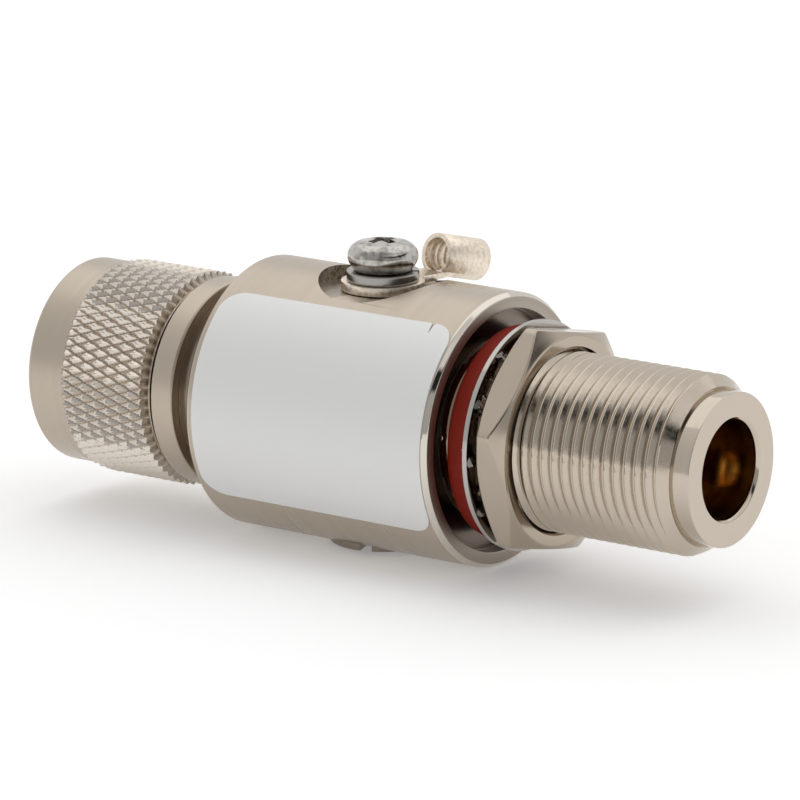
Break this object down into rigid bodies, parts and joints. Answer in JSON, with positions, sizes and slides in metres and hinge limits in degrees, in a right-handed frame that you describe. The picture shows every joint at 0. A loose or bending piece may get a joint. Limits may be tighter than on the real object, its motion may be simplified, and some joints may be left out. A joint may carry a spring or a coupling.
{
  "type": "coax lightning arrestor",
  "caption": "Inline coax surge arrestor: round nickel housing with a knurled plug, a threaded bulkhead socket, a panel nut and a ground screw with a crimp lug.",
  "frame": {"origin": "centre of the housing's right end face, the plane that a panel seats on", "axes": "+X along the line toward the bulkhead socket, +Z toward the ground screw"},
  "size_m": [0.0697, 0.0245, 0.0276],
  "materials": {
    "nickel": "nickel plate over brass, fine turned satin",
    "bright_steel": "bright plated steel",
    "spring_steel": "plain spring steel",
    "tin": "tin plate over copper",
    "gold": "gold plate",
    "copper_alloy": "bare turned alloy",
    "silicone": "red silicone",
    "seal_rubber": "black rubber",
    "insulator": "white fluoropolymer",
    "ceramic": "white alumina",
    "label": "silver film, satin"
  },
  "bodies": {
    "base": {"body": "nickel", "male_shell": "nickel", "snap_ring": "spring_steel", "male_gasket": "silicone", "male_pin": "gold", "male_bead": "insulator", "centre_rod": "copper_alloy", "female_bead": "insulator", "female_contact": "gold", "panel_gasket": "silicone", "gap_ceramic": "ceramic", "gap_electrode_in": "copper_alloy", "gap_electrode_out": "copper_alloy", "disc_spring": "spring_steel", "rating_label": "label"},
    "plug_nut": {"coupling_nut": "nickel"},
    "tooth_washer": {"lock_washer": "bright_steel"},
    "panel_nut": {"hex_nut": "nickel"},
    "split_washer": {"spring_washer": "bright_steel"},
    "screw": {"ground_screw": "bright_steel"},
    "lug": {"ground_lug": "tin"},
    "seal": {"cap_seal": "seal_rubber"},
    "cap": {"tube_cap": "nickel"}
  },
  "joints": [
    {"name": "plug_nut_turn", "type": "hinge", "parent": "base", "child": "plug_nut", "pos_m": [-0.039, 0, 0], "axis": [-1, 0, 0], "continuous": true},
    {"name": "panel_nut_travel", "type": "slide", "parent": "base", "child": "tooth_washer", "axis": [1, 0, 0], "range_m": [0, 0.0105]},
    {"name": "panel_nut_turn", "type": "hinge", "parent": "tooth_washer", "child": "panel_nut", "pos_m": [0.005, 0, 0], "axis": [1, 0, 0], "range_deg": [0, 3600]},
    {"name": "screw_travel", "type": "slide", "parent": "base", "child": "split_washer", "axis": [0, 0, 1], "range_m": [0, 0.0025]},
    {"name": "screw_turn", "type": "hinge", "parent": "split_washer", "child": "screw", "pos_m": [-0.0132, 0, 0.014], "axis": [0, 0, 1], "range_deg": [0, 1810]},
    {"name": "lug_swivel", "type": "hinge", "parent": "base", "child": "lug", "pos_m": [-0.0132, 0, 0.0114], "axis": [0, 0, 1], "range_deg": [-5, 30]},
    {"name": "cap_travel", "type": "slide", "parent": "base", "child": "seal", "axis": [0, 0, -1], "range_m": [0, 0.0015]},
    {"name": "cap_turn", "type": "hinge", "parent": "seal", "child": "cap", "pos_m": [-0.0132, 0, -0.011], "axis": [0, 0, -1], "range_deg": [0, 725]}
  ],
  "couplings": [
    {"joint": "panel_nut_turn", "follows": "panel_nut_travel", "rad_per_m": 5936.9},
    {"joint": "screw_turn", "follows": "screw_travel", "rad_per_m": 12566},
    {"joint": "cap_turn", "follows": "cap_travel", "rad_per_m": 8377.6}
  ]
}
